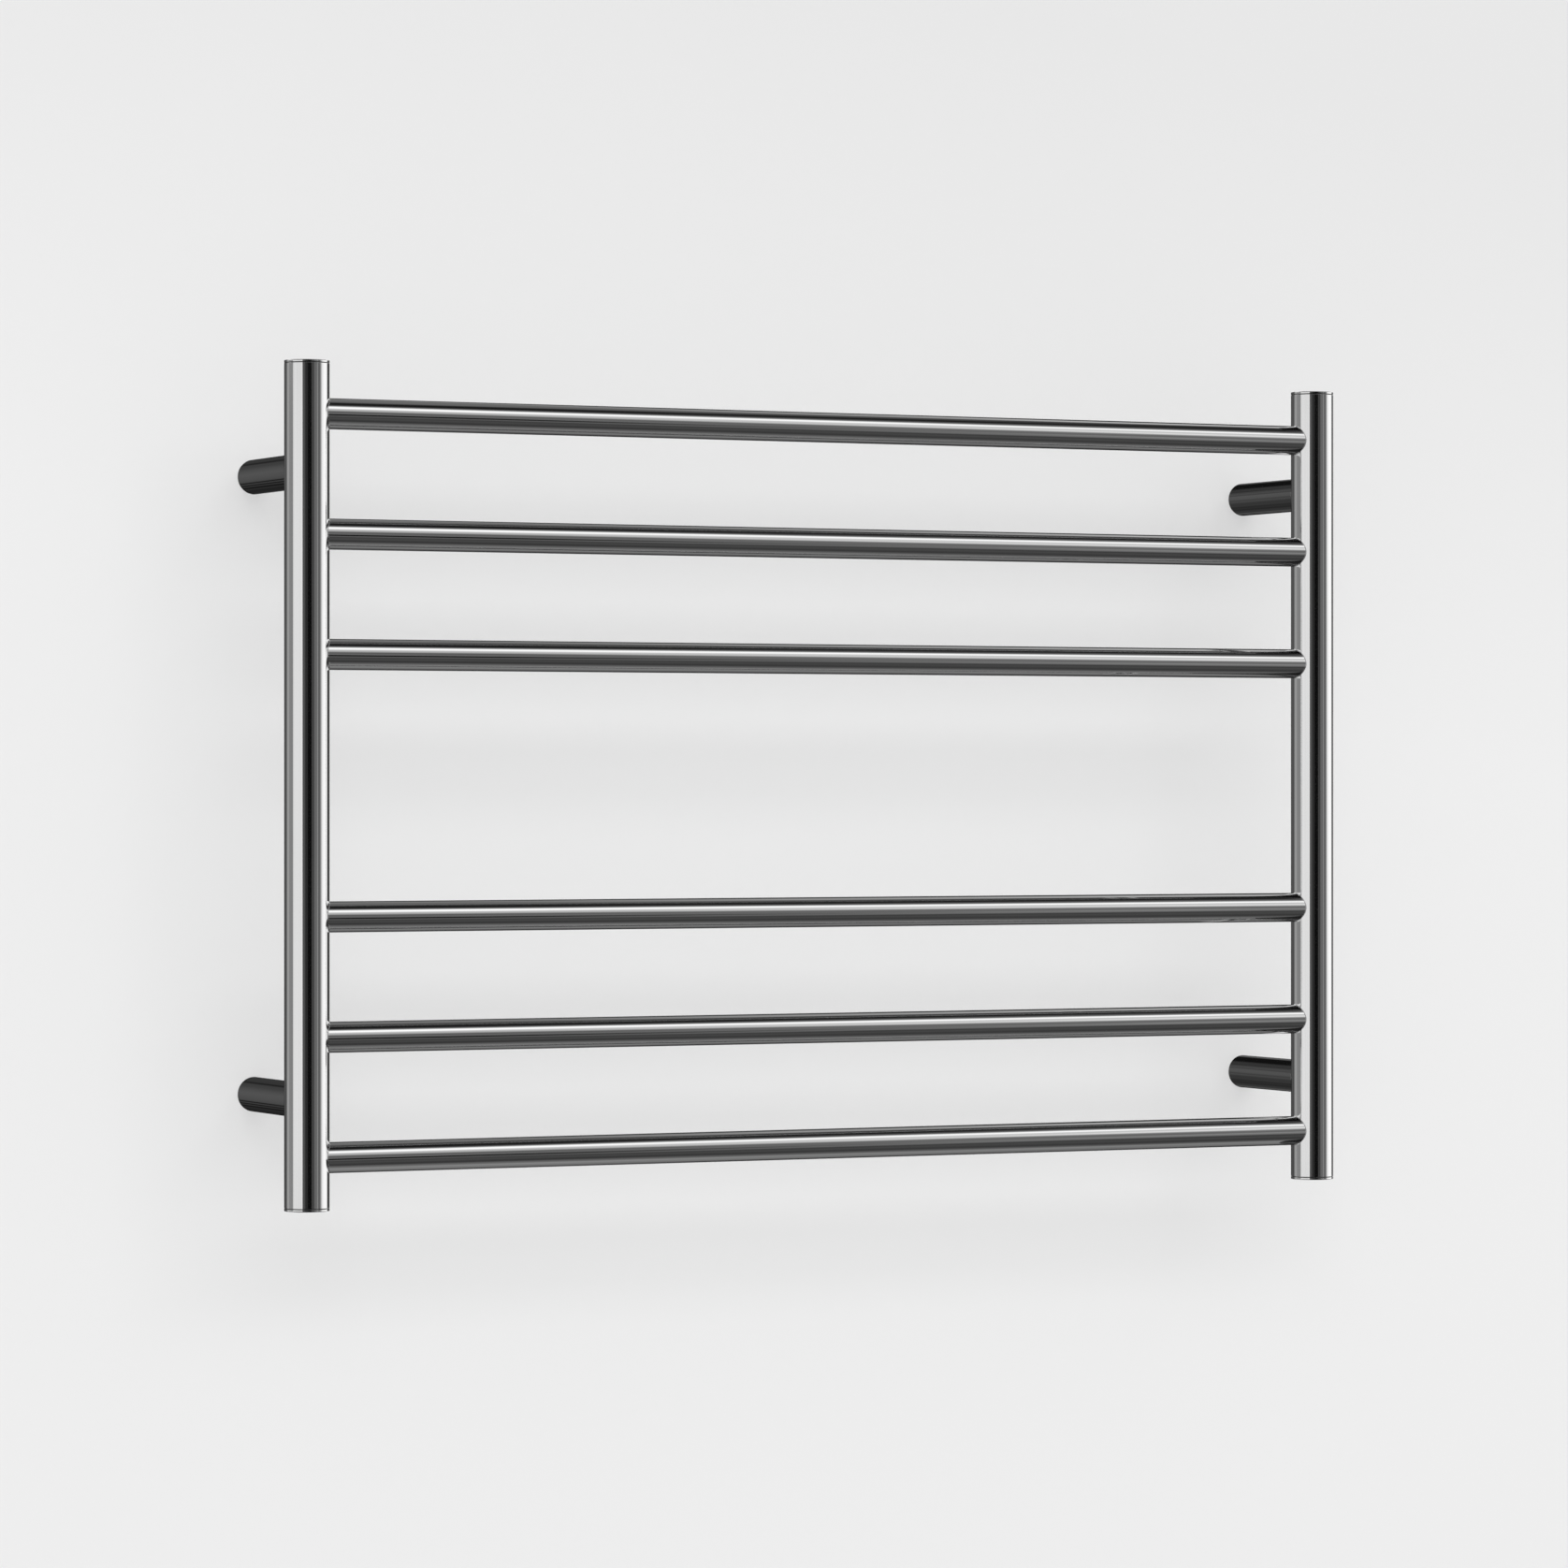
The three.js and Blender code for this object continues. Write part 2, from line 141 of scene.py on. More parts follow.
def plainMesh(piece):  # what the modifiers make, as a mesh of its own
    graph = bpy.context.evaluated_depsgraph_get()
    mesh = bpy.data.meshes.new_from_object(piece.evaluated_get(graph))
    piece.modifiers.clear()
    return mesh


def grown(tree, values, route=None):  # a mesh from a Geometry Nodes tree
    piece = newObject(tree.name, route or bpy.data.meshes.new(tree.name))
    modifier = piece.modifiers.new("build", "NODES")
    modifier.node_group = tree
    for item in tree.interface.items_tree:
        if item.in_out == "INPUT" and item.name in values:
            modifier[item.identifier] = values[item.name]
    mesh = plainMesh(piece)
    bpy.data.objects.remove(piece)
    mesh.materials.clear()  # joined instances bring an empty slot along
    mesh.materials.append(values["Material"])
    mesh.polygons.foreach_set("material_index", [0] * len(mesh.polygons))
    return mesh


def bmeshToMesh(shape, name, material=None):
    bmesh.ops.recalc_face_normals(shape, faces=shape.faces)
    mesh = bpy.data.meshes.new(name)
    shape.to_mesh(mesh)
    shape.free()
    if material:
        mesh.materials.append(material)
    return mesh


def turned(name, profile, count, material=None):  # a profile of (radius, height) in mm about Z
    shape = bmesh.new()
    rings = []
    for place, (radius, height) in enumerate(profile):
        if place and (radius, height) == profile[0]:  # a profile that closes on itself: a ring
            rings.append(rings[0])
            continue
        steps = 1 if radius == 0 else count
        rings.append([shape.verts.new((radius * mm * math.cos(math.tau * i / count),
                                       radius * mm * math.sin(math.tau * i / count),
                                       height * mm)) for i in range(steps)])
    for low, high in zip(rings, rings[1:]):
        for i in range(count if len(low) + len(high) > 2 else 0):  # two points of the axis: no faces
            j = i + 1
            around = [low[i % len(low)], low[j % len(low)], high[j % len(high)], high[i % len(high)]]
            shape.faces.new(list(dict.fromkeys(around)))
    return bmeshToMesh(shape, name, material)


def bend(radius, centre, start, end, steps=5):  # an arc for a profile, angles in degrees
    angles = [math.radians(start + (end - start) * i / steps) for i in range(steps + 1)]
    return [(centre[0] + radius * math.cos(a), centre[1] + radius * math.sin(a)) for a in angles]


def threadRidges(core, crest, start, turns, pitch):  # for a profile
    return [(radius, start + (number + shift) * pitch)
            for number in range(turns) for radius, shift in ((core, 0), (crest, 0.5))]


def evenProfile(half, length):  # the other half mirrors this one
    return half + [(radius, length - height) for radius, height in reversed(half)]


def rodMesh(radius, length, count, place):  # a plain cutter from the origin along Z, then placed
    rod = turned("cutter", [(0, 0), (radius, 0), (radius, length), (0, length)], count)
    rod.transform(place)
    return rod


def drilled(mesh, cutters, axis=None, loops=(), added=(), within=()):
    if loops:  # edges round a tube on both sides of a hole, which keep the hole's shading local
        shape = bmesh.new()
        shape.from_mesh(mesh)
        for distance in loops:
            bmesh.ops.bisect_plane(shape, geom=[*shape.verts, *shape.edges, *shape.faces],
                                   plane_co=Vector(axis) * distance, plane_no=axis)
        shape.to_mesh(mesh)
        shape.free()
    piece = newObject("drilled", mesh)
    tools = []
    for operation, shapes in (("UNION", added), ("INTERSECT", within), ("DIFFERENCE", cutters)):
        for shape in shapes:
            tool = newObject("cutter", shape)
            tools.append(tool)
            cut = piece.modifiers.new("cut", "BOOLEAN")
            cut.operation = operation
            cut.solver = "EXACT"
            cut.object = tool
    mesh = plainMesh(piece)
    for used in [piece, *tools]:
        bpy.data.objects.remove(used)
    return mesh


def finishPiece(name, mesh, place, replaces=None, sharpAngle=40):
    mesh.name = name
    mesh.transform(place)
    mesh.polygons.foreach_set("use_smooth", [True] * len(mesh.polygons))
    mesh.set_sharp_from_angle(angle=math.radians(sharpAngle))
    piece = newObject(name, mesh)
    shading = piece.modifiers.new("evenShading", "WEIGHTED_NORMAL")  # rounds stay true beside rims
    shading.keep_sharp = True
    shading.weight = 100
    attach(piece, "root")
    if replaces:
        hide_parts(replaces)


camera = {"lens": 139.25, "azimuth": -25.335, "distance": 4.4365,  # metres
          "aim": (-0.0367, postY, 0.0012), "reach": 50}


def makeCamera():
    azimuth = math.radians(camera["azimuth"])
    back = Vector((math.sin(azimuth), -math.cos(azimuth), 0))
    data = bpy.data.cameras.new("camera")
    data.lens = camera["lens"]
    data.clip_end = camera["reach"]
    seat = newObject("camera", data)
    seat.location = Vector(camera["aim"]) + back * camera["distance"]
    seat.rotation_euler = (-back).to_track_quat("-Z", "Y").to_euler()
    bpy.context.scene.camera = seat


makeCamera()
print("camera placed")

stainless = {
    "colour": "CACACA",
    "shade": "C3C3C3",
    "roughness": 0.05,  # mirror polish on tube: a little hazier than glass
    "haze": 0.03,  # extra roughness where the polish is duller
    "hazeSize": 70,  # about how wide its patches are
    "hazeDetail": 3.0,
    "hazeShows": (0.35, 0.75),  # where the noise begins to haze, and where it hazes fully
    "lineWidth": 1.0,  # polishing lines, drawn coarser than the real grit so that they show
    "lineLength": 260,
    "lineDepth": {"X": 0.004, "Y": 0.001, "Z": 0.0006},  # the crossbars are buffed less evenly
}


# Mirror polished 304 stainless steel tube, belt ground and then buffed along its length: neutral and
# slightly darker than chrome, with faint lines and haze that run with the tube.
def mirrorStainless(axis):
    material, tree, place = newMaterial(f"mirrorPolishedStainless{axis}")
    across, alongTube = 1 / (stainless["lineWidth"] * mm), 1 / (stainless["lineLength"] * mm)
    stretch = [alongTube if letter == axis else across for letter in "XYZ"]
    lines = addNode(tree, "ShaderNodeMapping", {"Vector": place, "Scale": stretch})
    grain = addNode(tree, "ShaderNodeTexNoise", {"Vector": lines, "Scale": 1.0})
    cloud = addNode(tree, "ShaderNodeTexNoise", {
        "Vector": place, "Scale": 1 / (stainless["hazeSize"] * mm), "Detail": stainless["hazeDetail"]})
    begin, end = stainless["hazeShows"]
    haze = addNode(tree, "ShaderNodeMapRange", {
        "Value": cloud, "From Min": begin, "From Max": end, "To Min": stainless["roughness"],
        "To Max": stainless["roughness"] + stainless["haze"]})
    shade = addNode(tree, "ShaderNodeMix", {
        "Factor": grain, "A": linear(stainless["colour"]), "B": linear(stainless["shade"])},
        data_type="RGBA")
    relief = addNode(tree, "ShaderNodeBump", {
        "Height": grain, "Distance": stainless["lineDepth"][axis] * mm})
    endMaterial(tree, {"Base Color": shade, "Metallic": 1.0, "Roughness": haze, "Normal": relief})
    return material


turnedSteel = {"colour": "B4B2AF", "shade": "9E9C99", "patchesPerMetre": 180.0, "roughness": 0.32,
               "ringPitch": 0.35, "ringDepth": 0.004, "ringStrength": 0.6}


# Turned stainless steel, straight off the lathe: fine rings round each wall insert that spread the
# light into a soft cross. The four inserts stand symmetrically, so one pattern of rings serves all.
def makeTurnedStainless():
    material, tree, place = newMaterial("turnedStainless")
    quarter = addNode(tree, "ShaderNodeVectorMath", {0: place}, operation="ABSOLUTE")
    centred = addNode(tree, "ShaderNodeVectorMath", {
        0: quarter, 1: (postX, 0, legZ)}, operation="SUBTRACT")
    flat = addNode(tree, "ShaderNodeVectorMath", {0: centred, 1: (1.0, 0.0, 1.0)}, operation="MULTIPLY")
    radius = addNode(tree, "ShaderNodeVectorMath", {0: flat}, operation="LENGTH")
    angle = addNode(tree, "ShaderNodeMath", {
        0: radius, 1: math.tau / (turnedSteel["ringPitch"] * mm)}, operation="MULTIPLY")
    rings = addNode(tree, "ShaderNodeMath", {0: angle}, operation="SINE")
    cloud = addNode(tree, "ShaderNodeTexNoise", {
        "Vector": place, "Scale": turnedSteel["patchesPerMetre"]})
    shade = addNode(tree, "ShaderNodeMix", {
        "Factor": cloud, "A": linear(turnedSteel["colour"]), "B": linear(turnedSteel["shade"])},
        data_type="RGBA")
    relief = addNode(tree, "ShaderNodeBump", {
        "Height": rings, "Strength": turnedSteel["ringStrength"],
        "Distance": turnedSteel["ringDepth"] * mm})
    endMaterial(tree, {
        "Base Color": shade, "Metallic": 1.0, "Roughness": turnedSteel["roughness"], "Normal": relief})
    return material


finishes = {
    "blackOxideSteel": {  # on hardened screws: oily black, a little greyer in patches where it has worn
        "tones": ("232326", "4A4A4C"), "patch": 1.2, "shows": (0.5, 0.7, 1.0),
        "surface": {"Metallic": 1.0, "Roughness": 0.42}},
    "tinnedCopper": {  # hot dipped: soft silver, with copper just showing through where the tin is thin
        "tones": ("C4C0B6", "B08A68"), "patch": 0.9, "detail": 5.0, "shows": (0.58, 0.78, 0.7),
        "relief": 0.02, "surface": {"Metallic": 1.0, "Roughness": 0.3}},
    "extrudedSilicone": {  # dusty dull red, with faint drag marks
        "tones": ("8E2F25", "7A271F"), "patch": 6.0, "relief": 0.02,
        "surface": {"Roughness": 0.58, "IOR": 1.45, "Sheen Weight": 0.15}},
    "heatShrinkSleeve": {  # polyolefin, shrunk on by heat: wrinkled satin black
        "tones": ("1C1C1D", "28282A"), "patch": 2.5, "relief": 0.08,
        "surface": {"Roughness": 0.5, "IOR": 1.45}},
    "mouldedRubber": {  # matt grey with a fine bloom
        "tones": ("3B3C3E", "313234"), "patch": 1.5, "relief": 0.03,
        "surface": {"Roughness": 0.78, "IOR": 1.45, "Sheen Weight": 0.25}},
    "glazedSteatite": {  # off-white ceramic under a slightly speckled glaze
        "tones": ("E4DFD2", "D6CFBF"), "patch": 1.0, "relief": 0.01,
        "surface": {"Roughness": 0.3, "IOR": 1.45}},
    "seamPaintedShade": {  # painted shade: black in the caps' seams, so that each narrow gap shows as a dark line
        "tones": ("121110", "1C1A19"), "patch": 0.6, "relief": 0.01,
        "surface": {"Roughness": 0.65, "IOR": 1.45}},
}


# One colour with a second tone in soft patches, and fine relief on most. A finish's "shows" says where
# the noise begins to show the second tone, where it shows most, and how much of it shows there.
def twoToneFinish(name):
    look = finishes[name]
    material, tree, place = newMaterial(name)
    patches = addNode(tree, "ShaderNodeTexNoise", {
        "Vector": place, "Scale": 1 / (look["patch"] * mm), "Detail": look.get("detail", 4.0)})
    share = patches
    if "shows" in look:
        begin, end, most = look["shows"]
        share = addNode(tree, "ShaderNodeMapRange", {
            "Value": patches, "From Min": begin, "From Max": end, "To Max": most})
    main, second = look["tones"]
    shade = addNode(tree, "ShaderNodeMix", {
        "Factor": share, "A": linear(main), "B": linear(second)}, data_type="RGBA")
    surface = {"Base Color": shade, **look["surface"]}
    if "relief" in look:
        surface["Normal"] = addNode(tree, "ShaderNodeBump", {
            "Height": patches, "Distance": look["relief"] * mm})
    endMaterial(tree, surface)
    return material


earthSleeve = {"green": "3F8A3C", "yellow": "D8C431", "stripes": 7, "slant": (1.0, 0.8, 0.8),
               "greenShare": 0.6, "roughness": 0.42, "ior": 1.53}


# Green and yellow PVC on the earth wire, extruded in two colours: bold slanting stripes, slightly waxy.
def makeEarthSleeve():
    material, tree, place = newMaterial("extrudedPvcGreenYellow")
    slant = addNode(tree, "ShaderNodeVectorMath", {
        0: place, 1: earthSleeve["slant"]}, operation="DOT_PRODUCT")
    count = addNode(tree, "ShaderNodeMath", {
        0: slant, 1: 1 / (earthSleeve["stripes"] * mm)}, operation="MULTIPLY")
    part = addNode(tree, "ShaderNodeMath", {0: count}, operation="FRACT")
    isYellow = addNode(tree, "ShaderNodeMath", {
        0: part, 1: earthSleeve["greenShare"]}, operation="GREATER_THAN")
    shade = addNode(tree, "ShaderNodeMix", {
        "Factor": isYellow, "A": linear(earthSleeve["green"]), "B": linear(earthSleeve["yellow"])},
        data_type="RGBA")
    endMaterial(tree, {
        "Base Color": shade, "Roughness": earthSleeve["roughness"], "IOR": earthSleeve["ior"]})
    return material


mirror = {axis: mirrorStainless(axis) for axis in "XYZ"}
turnedStainless = makeTurnedStainless()
finish = {name: twoToneFinish(name) for name in finishes}
print("materials ready")

# The posts are drilled to the bores of the crossbars and of a leg, so all three tubes' sizes are here.
posts = {"wall": 1.5, "rimRounding": 0.15, "sides": 144, "holeSides": 64, "holeMargin": 0.6}
crossbars = {"wall": 1.2, "rimRounding": 0.1, "sides": 128}
legs = {"wall": 1.5, "rimRounding": 0.3, "sides": 128, "grubHole": 4.6, "holeSides": 48, "loopsAt": 3.0}
weld = {"sink": 0.1, "beadRadius": 0.3, "beadSides": 10}  # coped ends sink in, so that no gap shows
sink = weld["sink"] * mm


# A tube along Z, centred on the origin. An end with a saddle radius is coped to a cylinder along Y.
def makeTubeTree():
    tree, given = newGeometryTree("copedTube", {
        "Radius": 0.01, "Wall": 0.001, "Length": 0.1, "Low Saddle": 0.0, "High Saddle": 0.0,
        "Rim Rounding": 0.0002, "Rim Steps": 4, "Sides": 64})
    halfWall = addNode(tree, "ShaderNodeMath", {0: given["Wall"], 1: 2.0}, operation="DIVIDE")
    middle = addNode(tree, "ShaderNodeMath", {0: given["Radius"], 1: halfWall}, operation="SUBTRACT")
    ring = addNode(tree, "GeometryNodeCurvePrimitiveCircle", {
        "Resolution": given["Sides"], "Radius": middle})
    section = addNode(tree, "GeometryNodeCurvePrimitiveQuadrilateral", {
        "Width": given["Wall"], "Height": given["Length"]})
    rounded = addNode(tree, "GeometryNodeFilletCurve", {
        "Curve": section, "Count": given["Rim Steps"], "Radius": given["Rim Rounding"]}, mode="POLY")
    swept = addNode(tree, "GeometryNodeCurveToMesh", {"Curve": ring, "Profile Curve": rounded})
    point = addNode(tree, "ShaderNodeSeparateXYZ", {0: addNode(tree, "GeometryNodeInputPosition")})
    low, high = [addNode(tree, "ShaderNodeMath", {  # an end moves out by its saddle's depth there
        0: given[saddle], 1: halfChord(tree, given[saddle], point.outputs["X"])}, operation="SUBTRACT")
        for saddle in ("Low Saddle", "High Saddle")]
    down = addNode(tree, "ShaderNodeMath", {0: low, 1: -1.0}, operation="MULTIPLY")
    isHigh = addNode(tree, "ShaderNodeMath", {0: point.outputs["Z"], 1: 0.0}, operation="GREATER_THAN")
    shift = addNode(tree, "ShaderNodeMix", {"Factor": isHigh, "A": down, "B": high})
    offset = addNode(tree, "ShaderNodeCombineXYZ", {"Z": shift})
    coped = addNode(tree, "GeometryNodeSetPosition", {"Geometry": swept, "Offset": offset})
    endGeometryTree(tree, coped, given)
    return tree


copedTube = makeTubeTree()


def tubeMesh(look, radius, length, axis, lowSaddle=0.0, highSaddle=0.0):
    return grown(copedTube, {
        "Radius": radius, "Wall": look["wall"] * mm, "Length": length, "Low Saddle": lowSaddle,
        "High Saddle": highSaddle, "Rim Rounding": look["rimRounding"] * mm, "Sides": look["sides"],
        "Material": mirror[axis]})  # polished along the axis that it will lie on


for side, right in (("left", -1), ("right", 1)):
    height = measure(f"post_{side}")[1][2]
    holes = [(z, barRadius, crossbars["wall"], turn(-90 * right, "Y")) for z in barHeights]
    if entry.endswith(side):  # the cables pass on into the leg
        holes.append((-legZ, legRadius, legs["wall"], turn(-90, "X")))
    cutters, loops = [], []
    for z, radius, thickness, towards in holes:
        bore, edge = radius / mm - thickness, radius + posts["holeMargin"] * mm
        cutters.append(rodMesh(bore, postWidth / mm, posts["holeSides"], move(0, 0, z) @ towards))
        loops += [z - edge, z + edge]
    tube = drilled(tubeMesh(posts, postRadius, height, "Z"), cutters, (0.0, 0.0, 1.0), loops)
    finishPiece(f"post{side.capitalize()}", tube, move(right * postX, postY, 0), f"post_{side}")

alongX = turn(90, "Y") @ turn(90, "Z")
for number, height in enumerate(barHeights, start=1):
    tube = tubeMesh(crossbars, barRadius, 2 * (postX - postRadius + sink), "X", postRadius, postRadius)
    finishPiece(f"crossbar{number}", tube, move(0, postY, height) @ alongX, f"crossbar_{number}")

alongY = turn(90, "X")
legLength = -postY - postRadius + sink
fromBelow = move(0, screwY, -legRadius - overrun * mm)  # under the grub screw, the leg's axis being Z 0
for node, name, right, up in corners:
    tube = tubeMesh(legs, legRadius, legLength, "Y", highSaddle=postRadius)
    tube.transform(move(0, -legLength / 2, 0) @ alongY)
    hole = rodMesh(legs["grubHole"] / 2, legRadius / mm, legs["holeSides"], fromBelow)
    loops = [-screwY + shift * mm for shift in (-legs["loopsAt"], legs["loopsAt"])]
    finishPiece(f"leg{name}", drilled(tube, [hole], (0.0, -1.0, 0.0), loops),
                move(right * postX, 0, up * legZ), f"leg_{node}")
print("tubes made")


# A polished fillet round every joint: one saddle-shaped ring, set where the tubes meet the posts.
def makeBeadTree():
    tree, given = newGeometryTree("weldBeads", {
        "Tube Radius": 0.01, "Post Radius": 0.02, "Bead Radius": 0.0005, "Bead Sides": 8,
        "Ring Steps": 96, "Half Width": 0.4, "First Height": 0.2, "Pitch": 0.08, "Count": 3,
        "Right Turn": 0.0, "Left Turn": math.pi})
    ring = addNode(tree, "GeometryNodeCurvePrimitiveCircle", {
        "Resolution": given["Ring Steps"], "Radius": given["Tube Radius"]})
    point = addNode(tree, "ShaderNodeSeparateXYZ", {0: addNode(tree, "GeometryNodeInputPosition")})
    reach = addNode(tree, "ShaderNodeMath", {
        0: halfChord(tree, given["Post Radius"], point.outputs["X"]), 1: -1.0}, operation="MULTIPLY")
    onPost = addNode(tree, "ShaderNodeCombineXYZ", {
        "X": reach, "Y": point.outputs["X"], "Z": point.outputs["Y"]})
    saddle = addNode(tree, "GeometryNodeSetPosition", {"Geometry": ring, "Position": onPost})
    section = addNode(tree, "GeometryNodeCurvePrimitiveCircle", {
        "Resolution": given["Bead Sides"], "Radius": given["Bead Radius"]})
    bead = addNode(tree, "GeometryNodeCurveToMesh", {"Curve": saddle, "Profile Curve": section})
    start = addNode(tree, "ShaderNodeCombineXYZ", {"X": given["Half Width"], "Z": given["First Height"]})
    down = addNode(tree, "ShaderNodeMath", {0: given["Pitch"], 1: -1.0}, operation="MULTIPLY")
    step = addNode(tree, "ShaderNodeCombineXYZ", {"Z": down})
    upper = addNode(tree, "GeometryNodeMeshLine", {
        "Count": given["Count"], "Start Location": start, "Offset": step})
    lower = addNode(tree, "GeometryNodeTransform", {"Geometry": upper, "Scale": (1.0, 1.0, -1.0)})
    right = addNode(tree, "GeometryNodeJoinGeometry")
    for half in (upper, lower):
        tree.links.new(half.outputs[0], right.inputs[0])
    left = addNode(tree, "GeometryNodeTransform", {"Geometry": right, "Scale": (-1.0, 1.0, 1.0)})
    everyBead = addNode(tree, "GeometryNodeJoinGeometry")
    for half, angle in ((right, "Right Turn"), (left, "Left Turn")):
        about = addNode(tree, "ShaderNodeCombineXYZ", {"Z": given[angle]})
        placed = addNode(tree, "GeometryNodeInstanceOnPoints", {
            "Points": half, "Instance": bead, "Rotation": about})
        tree.links.new(placed.outputs[0], everyBead.inputs[0])
    endGeometryTree(tree, everyBead, given)
    return tree


weldBeads = makeBeadTree()
quarterTurn = math.radians(-90)
for name, values in (
        ("weldBeadsCrossbars", {
            "Tube Radius": barRadius, "First Height": barHeights[0],
            "Pitch": barHeights[0] - barHeights[1], "Count": len(barHeights) // 2}),
        ("weldBeadsLegs", {
            "Tube Radius": legRadius, "First Height": legZ, "Count": 1,
            "Right Turn": quarterTurn, "Left Turn": quarterTurn})):
    finishPiece(name, grown(weldBeads, {
        "Post Radius": postRadius, "Bead Radius": weld["beadRadius"] * mm,
        "Bead Sides": weld["beadSides"], "Half Width": postX, "Material": mirror["Z"], **values}),
        move(0, postY, 0))
print("weld beads made")

cap = {
    "thickness": 1.8, "edge": 0.35, "innerEdge": 0.15,
    "plugLength": 12.2, "plugRadius": 13.7, "plugWall": 2.0,
    "ridges": 2, "ridge": 0.5, "ridgeWidth": 2.0, "ridgeStart": 3.2, "ridgePitch": 4.5,
    "crown": 0.12,  # the face is crowned a hair, so it holds a highlight
    "studRadius": 2.0, "studLength": 11.2, "threadStart": 0.4, "threadTurns": 14, "threadPitch": 0.7,
    "threadDepth": 0.3, "sides": 144,
}


def capProfile(hasStud):  # from the middle of the outer face, round the rim, and back inside the plug
    radius, edge, inner, inside = postRadius / mm, cap["edge"], cap["innerEdge"], cap["thickness"]
    face = [(radius * share, cap["crown"] * share ** 2) for share in (0, 0.5)]
    outer = bend(edge, (radius - edge, edge + cap["crown"]), -90, 0)
    rim = bend(inner, (radius - inner, inside - inner), 0, 90)
    outside, end = cap["plugRadius"], inside + cap["plugLength"]
    cup = outside - cap["plugWall"]
    plug = [(outside, inside)]
    for number in range(cap["ridges"]):
        start = inside + cap["ridgeStart"] + number * cap["ridgePitch"]
        plug += [(outside, start), (outside + cap["ridge"], start + cap["ridgeWidth"] / 2),
                 (outside, start + cap["ridgeWidth"])]
    plug += [(outside, end), (cup, end), (cup, inside)]
    middle = [(0, inside)]
    if hasStud:
        crest, depth, tip = cap["studRadius"], cap["threadDepth"], inside + cap["studLength"]
        core = crest - depth
        middle = [(core, inside), *threadRidges(
            core, crest, inside + cap["threadStart"], cap["threadTurns"], cap["threadPitch"]),
            (core, tip - depth), (core - depth, tip), (0, tip)]
    return face + outer + rim + plug + middle


for node, name, right, up in corners:
    mesh = turned("cap", capProfile(node == entry), cap["sides"], mirror["Z"])
    # painted shade: the seam's faces take a black finish, which stands in for the shade in the narrow
    # gap
    mesh.materials.append(finish["seamPaintedShade"])
    for face in mesh.polygons:  # the seam: the plug's outside, between the rim and the first ridge
        isInSeam = 0 < face.center.z / mm - cap["thickness"] < cap["ridgeStart"]
        if isInSeam and face.center.xy.length > (cap["plugRadius"] - cap["plugWall"] / 2) * mm:
            face.material_index = 1
    low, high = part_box(f"cap_{node}")
    outer, tilt = (high.z, 180) if up > 0 else (low.z, 0)
    finishPiece(f"cap{name}", mesh, move(right * postX, postY, outer) @ turn(tilt, "X"), f"cap_{node}")
print("caps made")

insert = {
    "edge": 0.8, "wallEdge": 0.3, "counterbore": 8.0, "screwHole": 5.5, "screwHead": 11.0,
    "entryHole": 8.0, "entryRise": 4.6,
    "entryScrewHole": 4.5, "entryScrewHead": 8.4, "entryScrewDrop": 5.2,
    "dimple": 2.4, "dimpleRise": 0.3,  # the dimple's cutter starts that far outside
    "sides": 96, "holeSides": 64,
}


def insertMesh(isEntry):  # the plug runs from the wall along -Y, its axis at the origin
    radius, length, sides = insertRadius / mm, insertLength / mm, insert["holeSides"]
    edge, wallEdge = insert["edge"], insert["wallEdge"]
    outside = [(radius - wallEdge, 0), (radius, wallEdge),
               *bend(edge, (radius - edge, length - edge), 0, 90)]
    hole, head, step = insert["screwHole"] / 2, insert["screwHead"] / 2, length - insert["counterbore"]
    profile = [(hole, 0), *outside, (head, length), (head, step), (hole, step), (hole, 0)]
    holes = []
    if isEntry:
        profile = [(0, 0), *outside, (0, length)]
        holes = [(insert["entryScrewHole"], insert["entryScrewHead"], -insert["entryScrewDrop"]),
                 (insert["entryHole"], None, insert["entryRise"])]
    mesh = turned("insert", profile, insert["sides"], turnedStainless)
    mesh.transform(alongY)
    cutters = []
    for hole, head, rise in holes:
        through = move(0, overrun * mm, rise * mm) @ alongY
        cutters.append(rodMesh(hole / 2, length + 2 * overrun, sides, through))
        if head:
            fromStep = move(0, -step * mm, rise * mm) @ alongY
            cutters.append(rodMesh(head / 2, insert["counterbore"] + overrun, sides, fromStep))
    dimple = insert["dimple"] + insert["dimpleRise"]
    cone = turned("cutter", [(0, 0), (dimple, 0), (0, dimple)], sides)
    cone.transform(move(0, screwY, -insertRadius - insert["dimpleRise"] * mm))
    return drilled(mesh, [*cutters, cone])


grub = {"socket": 2.0, "socketDepth": 1.5, "pointFlat": 0.4, "threadPitch": 0.7, "threadDepth": 0.3,
        "sides": 48}


def grubMesh():  # axis up, its socket end at Z 0
    radius, length = screwWidth / 2 / mm, screwLength / mm
    pitch, depth = grub["threadPitch"], grub["threadDepth"]
    coneStart = length - (radius - grub["pointFlat"])
    core, turns = radius - depth, int(coneStart / pitch)
    profile = [(0, 0), *threadRidges(core, radius, 0, turns, pitch), (core, turns * pitch),
               (core, coneStart + depth), (grub["pointFlat"], length), (0, length)]
    mesh = turned("grub", profile, grub["sides"], finish["blackOxideSteel"])
    hexagon = rodMesh(grub["socket"] / math.sqrt(3), grub["socketDepth"] + overrun, 6,
                      move(0, 0, -overrun * mm))
    return drilled(mesh, [hexagon])


for node, name, right, up in corners:
    finishPiece(f"wallInsert{name}", insertMesh(node == entry), move(right * postX, 0, up * legZ),
                f"wall_insert_{node}", sharpAngle=30)
    screwEnd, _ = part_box(f"grub_screw_{node}")
    finishPiece(f"grubScrew{name}", grubMesh(), move(right * postX, screwY, screwEnd.z),
                f"grub_screw_{node}", sharpAngle=30)
print("fixings made")


